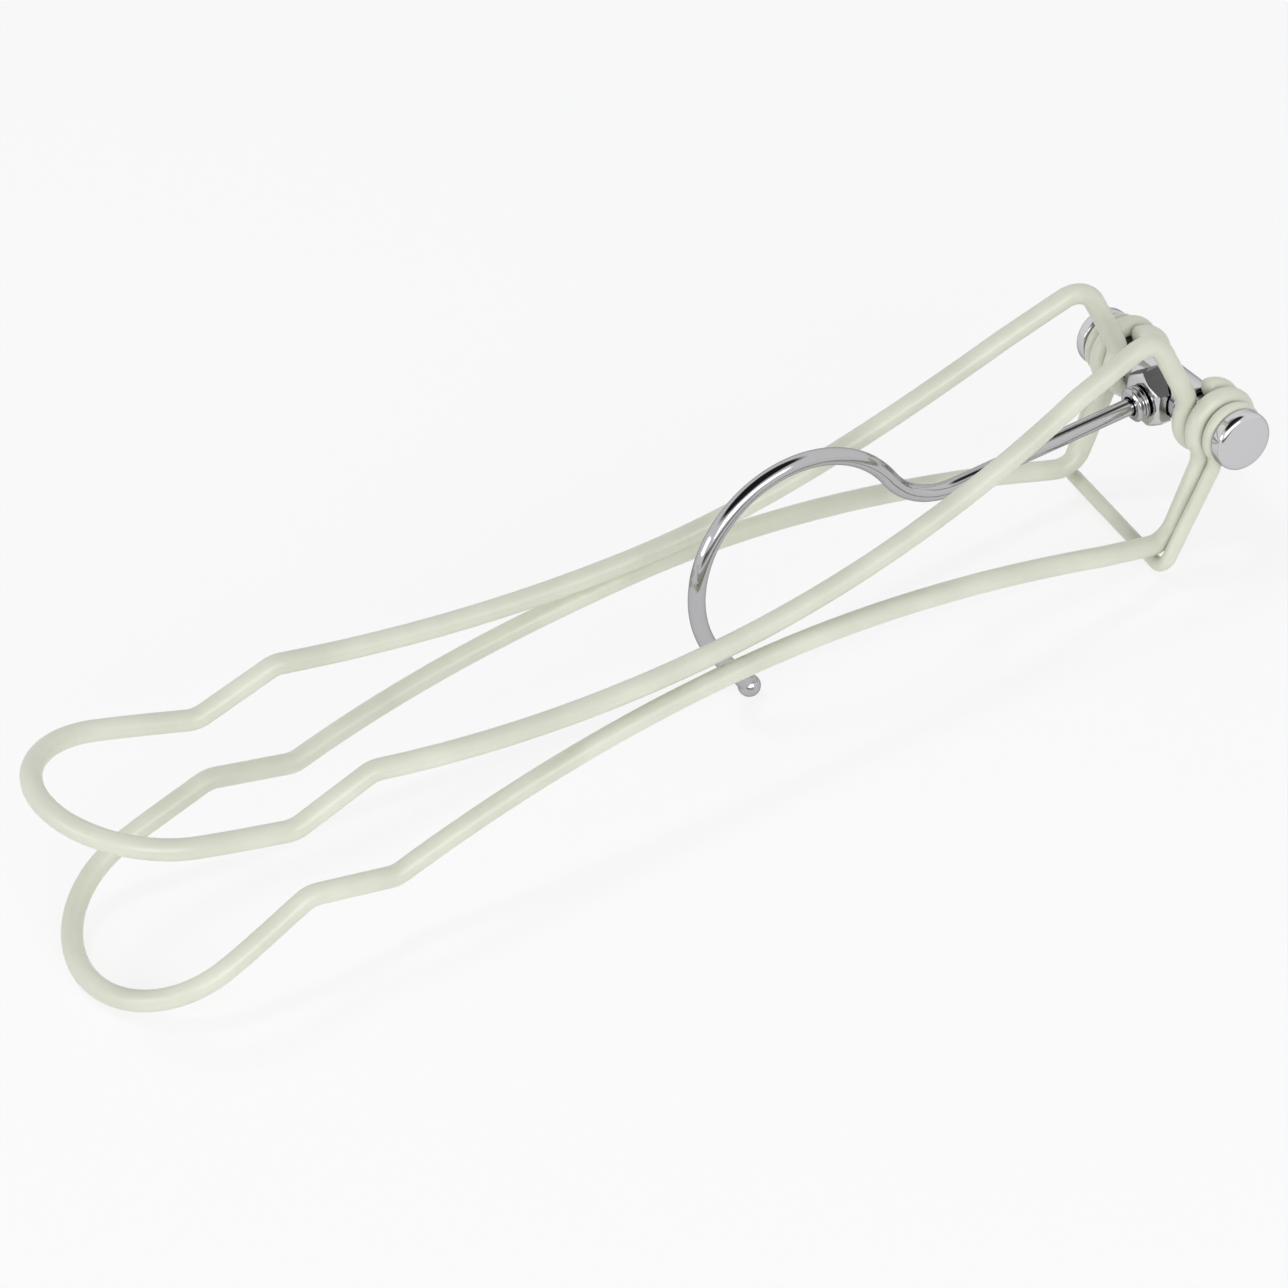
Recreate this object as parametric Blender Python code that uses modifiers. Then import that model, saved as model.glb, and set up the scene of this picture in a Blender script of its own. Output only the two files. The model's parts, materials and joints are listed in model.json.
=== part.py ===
"""Folding hanger of coated wire, folded flat, with a chrome hook between its two arms.

Both arms are hairpins of coated wire. Each ends in two eyes on one cross axle. The hook stands in a
hex boss on the barrel in the middle of that axle. A thinner wire bail lies under the outer arm's
corners and stops the inner arm when the hanger is open.

Every piece is drawn about the middle of the axle: -X runs along the folded arms, Y along the axle, and
+Z towards the inner arm. The whole hanger then hangs on one empty, which tips it by the small angle at
which it really lies: on the outer arm's round end, and on the hook's ball or the bail.
"""
import math

import bmesh
import bpy
import numpy as np
from mathutils import Matrix, Vector

MM = 0.001
FULL_TURN = 2 * math.pi
MERGE_DISTANCE = 0.00001

# Wires and clearances
ARM_WIRE_RADIUS = 1.8 * MM
BAIL_WIRE_RADIUS = 1.25 * MM
HOOK_WIRE_RADIUS = 1.5 * MM
SEAT_GAP = 0.3 * MM
ARM_WIRE_SIDES_RESOLUTION = 2

# Side view of the arms: distance from the axle, and height off the hanger's middle plane
REACH = 213.0 * MM
INNER_CORNER_DISTANCE = 9.4 * MM
INNER_CORNER_HEIGHT = 20.2 * MM
OUTER_CORNER_DISTANCE = 12.4 * MM
OUTER_CORNER_HEIGHT = 19.3 * MM
CORNER_BEND_RADIUS = 5.0 * MM
SHOULDER_DISTANCE = 26.0 * MM
INNER_SHOULDER_HEIGHT = 15.6 * MM
OUTER_SHOULDER_HEIGHT = 15.1 * MM
INNER_SHOULDER_SLOPE = 0.35
OUTER_SHOULDER_SLOPE = 0.32
WAIST_DISTANCE = 98.4 * MM
INNER_WAIST_HEIGHT = 1.7 * MM
OUTER_WAIST_HEIGHT = 2.4 * MM
CREST_DISTANCE = 164.6 * MM
CREST_HEIGHT = 10.6 * MM
CREST_SLOPE = 0.27
FOOT_DISTANCE = 179.6 * MM
FOOT_HEIGHT = 6.5 * MM
NOTCH_BEND_RADIUS = 5.0 * MM
ROUND_END_HEIGHT = 18.0 * MM
ROUND_END_LENGTH = 16.7 * MM

# Plan view: half widths of the arms' loops, and how fast they widen towards the round end
INNER_SHOULDER_HALF_WIDTH = 11.4 * MM
OUTER_SHOULDER_HALF_WIDTH = 15.4 * MM
INNER_WAIST_HALF_WIDTH = 15.3 * MM
OUTER_WAIST_HALF_WIDTH = 17.0 * MM
INNER_CREST_HALF_WIDTH = 17.3 * MM
OUTER_CREST_HALF_WIDTH = 18.2 * MM
INNER_FOOT_HALF_WIDTH = 17.7 * MM
OUTER_FOOT_HALF_WIDTH = 18.5 * MM
INNER_END_HALF_WIDTH = 18.5 * MM
OUTER_END_HALF_WIDTH = 19.6 * MM
INNER_SHOULDER_FLARE = 0.10
OUTER_SHOULDER_FLARE = 0.03
INNER_WAIST_FLARE = 0.045
OUTER_WAIST_FLARE = 0.003
CREST_FLARE = 0.005
ROUND_END_FLARE = 0.06

# Axle: a screw post with its head at the near end, and a screw with a like head at the far end
POST_RADIUS = 3.0 * MM
POST_BORE_RADIUS = 2.1 * MM
SCREW_LENGTH = 12.0 * MM
HEAD_RADIUS = 5.4 * MM
HEAD_THICKNESS = 2.6 * MM
HEAD_EDGE = 0.5 * MM
BARREL_WALL = 0.9 * MM
BARREL_HALF_LENGTH = 8.2 * MM
BARREL_CHAMFER = 0.3 * MM

# Eyes of the wires on the axle
ARM_EYE_RADIUS = 5.1 * MM
ARM_NECK_RADIUS = 5.0 * MM
INNER_LEG_OFFSET = 1.7 * MM
OUTER_LEG_OFFSET = 0.8 * MM
EYE_END_GAP = 0.6 * MM

# Bail: distance of its crossbar's two ends from the axle, for it lies a little askew, and its bends
BAIL_NEAR_DISTANCE = 15.6 * MM
BAIL_FAR_DISTANCE = 11.5 * MM
BAIL_BEND_RADIUS = 2.4 * MM
BAIL_NECK_RADIUS = 3.6 * MM
BAIL_LEG_OFFSET = 0.2 * MM

# Hex boss, hook collar and hook
BOSS_CORNER_RADIUS = 5.5 * MM
BOSS_FACE_DISTANCE = 6.2 * MM
BOSS_BACK_DISTANCE = 1.4 * MM
BOSS_CHAMFER = 0.6 * MM
BOSS_LIP = 1.6 * MM
STEM_HEAD_RADIUS = 2.4 * MM
STEM_HEAD_THICKNESS = 1.0 * MM
COLLAR_RADIUS = 3.1 * MM
COLLAR_LENGTH = 2.2 * MM
COLLAR_GROOVE_DEPTH = 0.5 * MM
HOOK_RADIUS = 20.7 * MM
HOOK_CENTRE_DISTANCE = 75.5 * MM
HOOK_CENTRE_DROP = 2.3 * MM
HOOK_NECK_RADIUS = 13.8 * MM
HOOK_END_ANGLE = math.radians(210.0)
HOOK_TIP_LENGTH = 9.9 * MM
BALL_RADIUS = 2.0 * MM

# How finely the bends are divided
BEND_STEP = math.radians(15.0)
EYE_STEP = math.radians(15.0)
HOOK_STEP = math.radians(10.0)
SPAN_STEPS = 7
NOSE_STEPS = 8
ROUND_SEGMENTS = 32
BOSS_SEGMENTS = 24

# Fits that follow from the sizes above
ARM_WIRE = 2 * ARM_WIRE_RADIUS
BARREL_BORE_RADIUS = POST_RADIUS + SEAT_GAP
BARREL_RADIUS = BARREL_BORE_RADIUS + BARREL_WALL
INNER_EYE_OFFSET = BARREL_HALF_LENGTH + SEAT_GAP + ARM_WIRE_RADIUS
OUTER_EYE_OFFSET = INNER_EYE_OFFSET + ARM_WIRE + SEAT_GAP
BAIL_EYE_OFFSET = OUTER_EYE_OFFSET + ARM_WIRE_RADIUS + SEAT_GAP + BAIL_WIRE_RADIUS
BAIL_EYE_RADIUS = POST_RADIUS + SEAT_GAP + BAIL_WIRE_RADIUS
HEAD_SEAT = BAIL_EYE_OFFSET + BAIL_WIRE_RADIUS + SEAT_GAP
HEAD_FACE = HEAD_SEAT + HEAD_THICKNESS
SCREW_RADIUS = POST_BORE_RADIUS - SEAT_GAP


def clear_scene():
    """Take every object out of the scene, so that the script can be run again."""
    for item in list(bpy.data.objects):
        bpy.data.objects.remove(item, do_unlink=True)


def collection(name):
    """A new collection in the scene."""
    group = bpy.data.collections.new(name)
    bpy.context.scene.collection.children.link(group)
    return group


def material(name, colour, roughness, metallic):
    """A Principled material with one colour."""
    made = bpy.data.materials.new(name)
    made.use_nodes = True
    shader = made.node_tree.nodes["Principled BSDF"]
    shader.inputs["Base Color"].default_value = (*colour, 1.0)
    shader.inputs["Roughness"].default_value = roughness
    shader.inputs["Metallic"].default_value = metallic
    return made


def hermite(start, end, start_slope, end_slope, length, t):
    """Cubic that leaves start and reaches end with the given slopes over a length, at share t of it."""
    rise = (1 - 3 * t ** 2 + 2 * t ** 3) * start + (3 * t ** 2 - 2 * t ** 3) * end
    return rise + length * ((t - 2 * t ** 2 + t ** 3) * start_slope + (t ** 3 - t ** 2) * end_slope)


def corner_arc(before, corner, after, radius):
    """Points of the arc of one radius that rounds a corner between two straight runs."""
    back = (before - corner) / np.linalg.norm(before - corner)
    ahead = (after - corner) / np.linalg.norm(after - corner)
    half = math.acos(np.clip(back @ ahead, -1, 1)) / 2
    middle = (back + ahead) / np.linalg.norm(back + ahead)
    centre = corner + middle * radius / math.sin(half)
    arm = corner + back * radius / math.tan(half) - centre
    turn = math.pi - 2 * half
    count = max(2, math.ceil(turn / BEND_STEP) + 1)
    return [centre + arm * math.cos(a) - back * radius * math.sin(a) for a in np.linspace(0, turn, count)]


def rounded_path(stations):
    """Points through the stations (point, bend radius), with an arc at each that has a radius."""
    points = [np.array(point, float) for point, _ in stations]
    path = [points[0]]
    for index in range(1, len(points) - 1):
        radius = stations[index][1]
        if radius:
            path += corner_arc(points[index - 1], points[index], points[index + 1], radius)
        else:
            path.append(points[index])
    return path + [points[-1]]


def leg_axes(corner, leg_offset):
    """Unit vectors along a leg and to the side of the arms' span, for a leg from a corner, given by its x and z.

    The leg passes the axle on that side, at its offset from the axle's centre.
    """
    distance = math.hypot(*corner)
    out = np.array(corner) / distance
    side = np.array([-out[1], out[0]]) if out[1] > 0 else np.array([out[1], -out[0]])
    lean = math.asin(leg_offset / distance)
    return math.cos(lean) * out - math.sin(lean) * side, math.sin(lean) * out + math.cos(lean) * side


def eye_points(corner, offset, eye_radius, neck_radius, wire_radius, leg_offset):
    """An eye centred on the axle, from the wire's end round to the start of the leg towards a corner.

    The neck bends off the leg to the side of the arms' span and meets the eye's circle from outside.
    The wire's end stops short of the leg on the other side.
    """
    along, side = leg_axes((corner[0], corner[2]), leg_offset)
    join = math.asin((leg_offset + neck_radius) / (eye_radius + neck_radius))
    stop = FULL_TURN - math.asin((2 * wire_radius + EYE_END_GAP - leg_offset) / eye_radius)
    flat = []
    for angle in np.linspace(stop, join, math.ceil((stop - join) / EYE_STEP) + 1):
        flat.append(eye_radius * (math.cos(angle) * along + math.sin(angle) * side))
    neck_centre = (eye_radius + neck_radius) * (math.cos(join) * along + math.sin(join) * side)
    sweep = math.pi / 2 - join
    for angle in np.linspace(sweep, 0, math.ceil(sweep / BEND_STEP) + 1)[1:]:
        flat.append(neck_centre - neck_radius * (math.sin(angle) * along + math.cos(angle) * side))
    return [np.array([x, offset, z]) for x, z in flat]


def arm_half(eye_offset, leg_offset, corner, shoulder, waist, crest_width, foot_width, end_width):
    """The far half of the inner arm's centre line, from its eye to the tip of its round end.

    The corner is (distance, height); the shoulder and the waist are (height, slope, half width, flare).
    """
    shoulder_height, shoulder_slope, shoulder_width, shoulder_flare = shoulder
    waist_height, waist_width, waist_flare = waist
    corner = np.array([-corner[0], eye_offset, corner[1]])
    eye = eye_points(corner, eye_offset, ARM_EYE_RADIUS, ARM_NECK_RADIUS, ARM_WIRE_RADIUS, leg_offset)
    stations = [(eye[-1], 0), (corner, CORNER_BEND_RADIUS)]
    length = WAIST_DISTANCE - SHOULDER_DISTANCE
    for t in np.linspace(0, 1, SPAN_STEPS + 1)[:-1]:
        wide = hermite(shoulder_width, waist_width, shoulder_flare, waist_flare, length, t)
        high = hermite(shoulder_height, waist_height, -shoulder_slope, 0, length, t)
        stations.append(((-SHOULDER_DISTANCE - t * length, wide, high), 0))
    length = CREST_DISTANCE - WAIST_DISTANCE
    for t in np.linspace(0, 1, SPAN_STEPS):
        wide = hermite(waist_width, crest_width, waist_flare, CREST_FLARE, length, t)
        high = hermite(waist_height, CREST_HEIGHT, 0, CREST_SLOPE, length, t)
        stations.append(((-WAIST_DISTANCE - t * length, wide, high), NOTCH_BEND_RADIUS if t == 1 else 0))
    stations.append(((-FOOT_DISTANCE, foot_width, FOOT_HEIGHT), NOTCH_BEND_RADIUS))
    rise = (ROUND_END_HEIGHT - FOOT_HEIGHT) / (REACH - FOOT_DISTANCE)
    length = REACH - ROUND_END_LENGTH - FOOT_DISTANCE
    for t in (0.5, 1.0):
        wide = hermite(foot_width, end_width, ROUND_END_FLARE, 0, length, t)
        stations.append(((-FOOT_DISTANCE - t * length, wide, FOOT_HEIGHT + rise * t * length), 0))
    for angle in np.linspace(0, math.pi / 2, NOSE_STEPS + 1)[1:]:
        along = length + ROUND_END_LENGTH * math.sin(angle)
        stations.append(((-FOOT_DISTANCE - along, end_width * math.cos(angle), FOOT_HEIGHT + rise * along), 0))
    return eye[:-1] + rounded_path(stations)


def both_halves(half):
    """A centre line made whole: the half mirrored across the hanger's middle, then the half itself."""
    near = [point * (1, -1, 1) for point in half]
    joined = abs(half[-1][1]) < MERGE_DISTANCE
    return near + half[::-1][1 if joined else 0:]


def bail_height():
    """How far below the axle the bail's crossbar runs: just under the bend of the outer arm's corner."""
    corner = np.array([-OUTER_CORNER_DISTANCE, OUTER_CORNER_HEIGHT])
    shoulder = np.array([-SHOULDER_DISTANCE, OUTER_SHOULDER_HEIGHT])
    back = -leg_axes(corner, OUTER_LEG_OFFSET)[0]
    ahead = (shoulder - corner) / np.linalg.norm(shoulder - corner)
    half = math.acos(back @ ahead) / 2
    centre = corner + (back + ahead) / np.linalg.norm(back + ahead) * CORNER_BEND_RADIUS / math.sin(half)
    return centre[1] + CORNER_BEND_RADIUS + ARM_WIRE_RADIUS + SEAT_GAP + BAIL_WIRE_RADIUS


def bail_points():
    """The bail's centre line: near eye and leg, the crossbar, and the far leg and eye."""
    height = bail_height()
    near = np.array([-BAIL_NEAR_DISTANCE, -BAIL_EYE_OFFSET, -height])
    far = np.array([-BAIL_FAR_DISTANCE, BAIL_EYE_OFFSET, -height])
    near_eye, far_eye = (eye_points(corner, corner[1], BAIL_EYE_RADIUS, BAIL_NECK_RADIUS, BAIL_WIRE_RADIUS,
                                    BAIL_LEG_OFFSET) for corner in (near, far))
    stations = [(near_eye[-1], 0), (near, BAIL_BEND_RADIUS), (far, BAIL_BEND_RADIUS), (far_eye[-1], 0)]
    return near_eye[:-1] + rounded_path(stations) + far_eye[-2::-1]


def hook_points():
    """The hook's centre line in its own plane: stem, reversed bend, large arc and straight tip."""
    centre = np.array([-HOOK_CENTRE_DISTANCE, -HOOK_CENTRE_DROP])
    reach = HOOK_RADIUS + HOOK_NECK_RADIUS
    neck_height = HOOK_NECK_RADIUS + HOOK_CENTRE_DROP
    neck_x = centre[0] + math.sqrt(reach ** 2 - neck_height ** 2)
    start = math.asin(neck_height / reach)
    flat = [np.array([-stem_end() - STEM_HEAD_THICKNESS / 2, 0.0]), np.array([neck_x, 0.0])]
    sweep = math.pi / 2 - start
    for angle in np.linspace(0, sweep, math.ceil(sweep / HOOK_STEP) + 1)[1:-1]:
        flat.append(np.array([neck_x - HOOK_NECK_RADIUS * math.sin(angle),
                              HOOK_NECK_RADIUS * (1 - math.cos(angle))]))
    for angle in np.linspace(start, HOOK_END_ANGLE, math.ceil((HOOK_END_ANGLE - start) / HOOK_STEP) + 1):
        flat.append(centre + HOOK_RADIUS * np.array([math.cos(angle), math.sin(angle)]))
    run = np.array([-math.sin(HOOK_END_ANGLE), math.cos(HOOK_END_ANGLE)])
    flat.append(flat[-1] + HOOK_TIP_LENGTH * run)
    return [np.array([x, 0, z]) for x, z in flat]


def stem_end():
    """Distance from the axle to the end of the hook's stem, just clear of the post."""
    return POST_RADIUS + SEAT_GAP


def boss_lip_back():
    """Distance from the axle to the back of the boss's lip, which the stem's head bears on."""
    return BOSS_FACE_DISTANCE - BOSS_LIP


def wire(name, group, points, radius, resolution=ARM_WIRE_SIDES_RESOLUTION):
    """A wire as a curve with a round bevel and closed ends."""
    data = bpy.data.curves.new(name, "CURVE")
    data.dimensions = "3D"
    data.bevel_depth = radius
    data.bevel_resolution = resolution
    data.use_fill_caps = True
    spline = data.splines.new("POLY")
    spline.points.add(len(points) - 1)
    spline.points.foreach_set("co", np.c_[np.array(points), np.ones(len(points))].ravel())
    item = bpy.data.objects.new(name, data)
    group.objects.link(item)
    return item


def as_mesh(item, group):
    """A curve's own shape as a mesh object of the same name, with its caps welded."""
    bpy.context.view_layer.update()
    shape = item.evaluated_get(bpy.context.evaluated_depsgraph_get())
    data = bpy.data.meshes.new_from_object(shape)
    name, place = item.name, item.matrix_world.copy()
    bpy.data.objects.remove(item, do_unlink=True)
    work = bmesh.new()
    work.from_mesh(data)
    bmesh.ops.remove_doubles(work, verts=work.verts, dist=MERGE_DISTANCE)
    work.to_mesh(data)
    work.free()
    made = bpy.data.objects.new(name, data)
    made.matrix_world = place
    group.objects.link(made)
    return made


def turned(name, group, profile, axis, segments=ROUND_SEGMENTS):
    """A profile of (radius, height) points, outer side first from its top, turned about an axis.

    The height runs along -X or -Y of the hanger, or along +Y.
    """
    data = bpy.data.meshes.new(name)
    edges = [(index, index + 1) for index in range(len(profile) - 1)]
    data.from_pydata([(radius, 0, height) for radius, height in profile], edges, [])
    item = bpy.data.objects.new(name, data)
    item.rotation_mode = "QUATERNION"
    item.rotation_quaternion = Vector(axis).to_track_quat("Z", "Y")
    group.objects.link(item)
    screw = item.modifiers.new("Turn", "SCREW")
    screw.steps = segments
    screw.render_steps = segments
    screw.use_merge_vertices = True
    screw.merge_threshold = MERGE_DISTANCE
    screw.use_normal_calculate = False
    return item


def rod_cutter(name, group, radius, length, place, axis, segments=BOSS_SEGMENTS):
    """A cutting rod of one radius, centred on a place and running along an axis."""
    data = bpy.data.meshes.new(name)
    work = bmesh.new()
    turn = Vector(axis).to_track_quat("Z", "Y").to_matrix().to_4x4()
    bmesh.ops.create_cone(work, cap_ends=True, segments=segments, radius1=radius, radius2=radius,
                          depth=length, matrix=Matrix.Translation(place) @ turn)
    work.to_mesh(data)
    work.free()
    item = bpy.data.objects.new(name, data)
    item.hide_render = True
    item.display_type = "WIRE"
    group.objects.link(item)
    return item


def boolean(item, other, operation):
    """Cut or join another object with this one, exactly."""
    change = item.modifiers.new(other.name, "BOOLEAN")
    change.operation = operation
    change.object = other


def smooth(item, angle=math.radians(40)):
    """Shade a mesh smooth, with its sharp edges kept."""
    item.data.shade_smooth()
    item.data.set_sharp_from_angle(angle=angle)


def make_arms(group, coat):
    """Both hairpin arms: the outer one's corners and loop are wider, and it is turned over."""
    inner = arm_half(INNER_EYE_OFFSET, INNER_LEG_OFFSET, (INNER_CORNER_DISTANCE, INNER_CORNER_HEIGHT),
                     (INNER_SHOULDER_HEIGHT, INNER_SHOULDER_SLOPE, INNER_SHOULDER_HALF_WIDTH, INNER_SHOULDER_FLARE),
                     (INNER_WAIST_HEIGHT, INNER_WAIST_HALF_WIDTH, INNER_WAIST_FLARE),
                     INNER_CREST_HALF_WIDTH, INNER_FOOT_HALF_WIDTH, INNER_END_HALF_WIDTH)
    outer = arm_half(OUTER_EYE_OFFSET, OUTER_LEG_OFFSET, (OUTER_CORNER_DISTANCE, OUTER_CORNER_HEIGHT),
                     (OUTER_SHOULDER_HEIGHT, OUTER_SHOULDER_SLOPE, OUTER_SHOULDER_HALF_WIDTH, OUTER_SHOULDER_FLARE),
                     (OUTER_WAIST_HEIGHT, OUTER_WAIST_HALF_WIDTH, OUTER_WAIST_FLARE),
                     OUTER_CREST_HALF_WIDTH, OUTER_FOOT_HALF_WIDTH, OUTER_END_HALF_WIDTH)
    outer = [point * (1, 1, -1) for point in outer]
    for name, half in (("inner_arm", inner), ("outer_arm", outer)):
        wire(name, group, both_halves(half), ARM_WIRE_RADIUS).data.materials.append(coat)


def make_bail(group, coat):
    """The thin wire bail on the axle, which lies against the outer arm's corners."""
    wire("stop_bail", group, bail_points(), BAIL_WIRE_RADIUS).data.materials.append(coat)


def head_profile(shank_radius, shank_end):
    """Outer side of a headed pin from the top of its head down to its shank's end."""
    return [(0, HEAD_FACE), (HEAD_RADIUS - HEAD_EDGE, HEAD_FACE), (HEAD_RADIUS, HEAD_FACE - HEAD_EDGE),
            (HEAD_RADIUS, HEAD_SEAT), (shank_radius, HEAD_SEAT), (shank_radius, shank_end)]


def make_axle(group, chrome):
    """The screw post, the screw that closes it, and the barrel that spaces the arms' eyes."""
    post_end = -HEAD_SEAT + SEAT_GAP
    bore_floor = post_end + SCREW_LENGTH + SEAT_GAP
    profile = head_profile(POST_RADIUS, post_end)
    profile += [(POST_BORE_RADIUS, post_end), (POST_BORE_RADIUS, bore_floor), (0, bore_floor)]
    post = turned("axle_post", group, profile, (0, -1, 0))
    screw_end = HEAD_SEAT - SCREW_LENGTH
    screw = turned("axle_screw", group, head_profile(SCREW_RADIUS, screw_end) + [(0, screw_end)], (0, 1, 0))
    half, rim = BARREL_HALF_LENGTH, BARREL_RADIUS - BARREL_CHAMFER
    profile = [(BARREL_BORE_RADIUS, half), (rim, half), (BARREL_RADIUS, half - BARREL_CHAMFER),
               (BARREL_RADIUS, BARREL_CHAMFER - half), (rim, -half), (BARREL_BORE_RADIUS, -half),
               (BARREL_BORE_RADIUS, half)]
    barrel = turned("pivot_barrel", group, profile, (0, 1, 0))
    for item in (post, screw, barrel):
        item.data.materials.append(chrome)
    return barrel


def make_boss(group, cutters, chrome, barrel):
    """The hex boss saddled on the barrel, with a lip at its face that keeps the stem's head in."""
    length = BOSS_FACE_DISTANCE - BOSS_BACK_DISTANCE
    middle = (-BOSS_BACK_DISTANCE - length / 2, 0, 0)
    data = bpy.data.meshes.new("hex_boss")
    work = bmesh.new()
    lie = Vector((-1, 0, 0)).to_track_quat("Z", "Y").to_matrix().to_4x4()
    bmesh.ops.create_cone(work, cap_ends=True, segments=6, radius1=BOSS_CORNER_RADIUS,
                          radius2=BOSS_CORNER_RADIUS, depth=length, matrix=Matrix.Translation(middle) @ lie)
    work.to_mesh(data)
    work.free()
    boss = bpy.data.objects.new("hex_boss", data)
    boss.data.materials.append(chrome)
    group.objects.link(boss)
    flat = BOSS_CORNER_RADIUS * math.cos(math.pi / 6)
    profile = [(0, BOSS_FACE_DISTANCE + SEAT_GAP), (flat - BOSS_CHAMFER, BOSS_FACE_DISTANCE + SEAT_GAP),
               (flat - BOSS_CHAMFER, BOSS_FACE_DISTANCE), (BOSS_CORNER_RADIUS, BOSS_FACE_DISTANCE - BOSS_CHAMFER),
               (BOSS_CORNER_RADIUS, 0), (0, 0)]
    cone = turned("boss_chamfer_guide", cutters, profile, (-1, 0, 0), BOSS_SEGMENTS)
    cone.hide_render = True
    cone.display_type = "WIRE"
    boolean(boss, cone, "INTERSECT")
    saddle = rod_cutter("saddle_cutter", cutters, BARREL_RADIUS + SEAT_GAP, 2 * BARREL_HALF_LENGTH, (0, 0, 0),
                        (0, 1, 0), ROUND_SEGMENTS)
    bore = rod_cutter("stem_bore_cutter", cutters, HOOK_WIRE_RADIUS + SEAT_GAP, 2 * BOSS_FACE_DISTANCE,
                      (-BOSS_FACE_DISTANCE, 0, 0), (1, 0, 0))
    room = rod_cutter("head_room_cutter", cutters, STEM_HEAD_RADIUS + SEAT_GAP, boss_lip_back(),
                      (-boss_lip_back() / 2, 0, 0), (1, 0, 0))
    for cutter in (saddle, bore, room):
        boolean(boss, cutter, "DIFFERENCE")
    boolean(barrel, room, "DIFFERENCE")


def make_hook(group, cutters, chrome):
    """The hook: a bent wire with a ball at its tip and a flat head riveted on the stem's inner end."""
    points = hook_points()
    hook = as_mesh(wire("hook_wire", group, points, HOOK_WIRE_RADIUS), group)
    hook.data.materials.clear()
    hook.data.materials.append(chrome)
    data = bpy.data.meshes.new("tip_ball_guide")
    work = bmesh.new()
    bmesh.ops.create_uvsphere(work, u_segments=16, v_segments=10, radius=BALL_RADIUS,
                              matrix=Matrix.Translation(points[-1]))
    work.to_mesh(data)
    work.free()
    ball = bpy.data.objects.new("tip_ball_guide", data)
    ball.hide_render = True
    ball.display_type = "WIRE"
    cutters.objects.link(ball)
    place = (-stem_end() - STEM_HEAD_THICKNESS / 2, 0, 0)
    head = rod_cutter("stem_head_guide", cutters, STEM_HEAD_RADIUS, STEM_HEAD_THICKNESS, place, (1, 0, 0))
    for part in (ball, head):
        boolean(hook, part, "UNION")
    smooth(hook)


def make_collar(group, chrome):
    """The grooved collar on the stem, in front of the boss."""
    low = BOSS_FACE_DISTANCE + SEAT_GAP
    high = low + COLLAR_LENGTH
    bore = HOOK_WIRE_RADIUS + SEAT_GAP
    neck = COLLAR_RADIUS - COLLAR_GROOVE_DEPTH
    third = COLLAR_LENGTH / 3
    profile = [(bore, high), (neck, high), (COLLAR_RADIUS, high - third / 2), (COLLAR_RADIUS, high - third),
               (neck, high - third), (neck, low + third), (COLLAR_RADIUS, low + third), (COLLAR_RADIUS, low),
               (bore, low), (bore, high)]
    collar = turned("hook_collar", group, profile, (-1, 0, 0), BOSS_SEGMENTS)
    collar.data.materials.append(chrome)


def lay_down(group, cutters):
    """Hang every piece on one empty that lays the hanger down over the origin.

    It lies on the outer arm's round end and on the hook's ball or the bail, whichever meets the floor first.
    """
    ball = hook_points()[-1]
    end_low = ROUND_END_HEIGHT + ARM_WIRE_RADIUS
    tip_on_ball = math.atan2(BALL_RADIUS - ball[2] - end_low, REACH + ball[0])
    tip_on_bail = math.atan2(bail_height() + BAIL_WIRE_RADIUS - end_low, REACH - BAIL_NEAR_DISTANCE)
    tip = max(tip_on_ball, tip_on_bail)
    height = end_low * math.cos(tip) + REACH * math.sin(tip)
    eye_edge = ARM_EYE_RADIUS + ARM_WIRE_RADIUS
    end_edge = (REACH + ARM_WIRE_RADIUS) * math.cos(tip) + ROUND_END_HEIGHT * math.sin(tip)
    frame = bpy.data.objects.new("axle_centre", None)
    frame.location = ((end_edge - eye_edge) / 2, 0, height)
    frame.rotation_euler = (0, -tip, 0)
    group.objects.link(frame)
    for item in list(group.objects) + list(cutters.objects):
        if item != frame:
            item.parent = frame
    print("axle centre", tuple(frame.location), "tip in degrees", math.degrees(tip))


clear_scene()
hanger = collection("folding_hanger")
cutting = collection("cutters")
coated = material("coated_wire", (0.72, 0.75, 0.61), 0.35, 0.0)
bright = material("chrome", (0.80, 0.80, 0.81), 0.12, 1.0)
make_arms(hanger, coated)
make_bail(hanger, coated)
middle_barrel = make_axle(hanger, bright)
make_boss(hanger, cutting, bright, middle_barrel)
make_hook(hanger, cutting, bright)
make_collar(hanger, bright)
lay_down(hanger, cutting)
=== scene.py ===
import json
import math

import bmesh
import bpy
import numpy as np
from mathutils import Matrix


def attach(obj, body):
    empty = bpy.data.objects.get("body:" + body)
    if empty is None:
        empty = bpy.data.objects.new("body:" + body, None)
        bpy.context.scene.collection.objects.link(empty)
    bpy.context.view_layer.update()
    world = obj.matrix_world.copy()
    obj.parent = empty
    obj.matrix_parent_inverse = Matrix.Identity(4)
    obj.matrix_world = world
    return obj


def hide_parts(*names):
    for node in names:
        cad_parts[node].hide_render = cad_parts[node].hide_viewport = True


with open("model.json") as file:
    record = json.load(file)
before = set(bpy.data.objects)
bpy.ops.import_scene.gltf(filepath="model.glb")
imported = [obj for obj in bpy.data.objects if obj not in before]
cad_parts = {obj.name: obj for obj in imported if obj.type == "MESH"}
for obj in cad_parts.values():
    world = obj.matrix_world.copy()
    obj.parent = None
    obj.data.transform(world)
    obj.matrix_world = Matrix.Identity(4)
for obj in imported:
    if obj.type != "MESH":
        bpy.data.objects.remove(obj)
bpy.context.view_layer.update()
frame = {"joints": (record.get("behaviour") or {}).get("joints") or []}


# The studio and the view
# A pale floor runs back into white walls. The bright metal also mirrors a dark ceiling and the table's dark
# front edge. Wide soft lamps stand low in front and on the left. The camera is a long lens, tilted a little.

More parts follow.
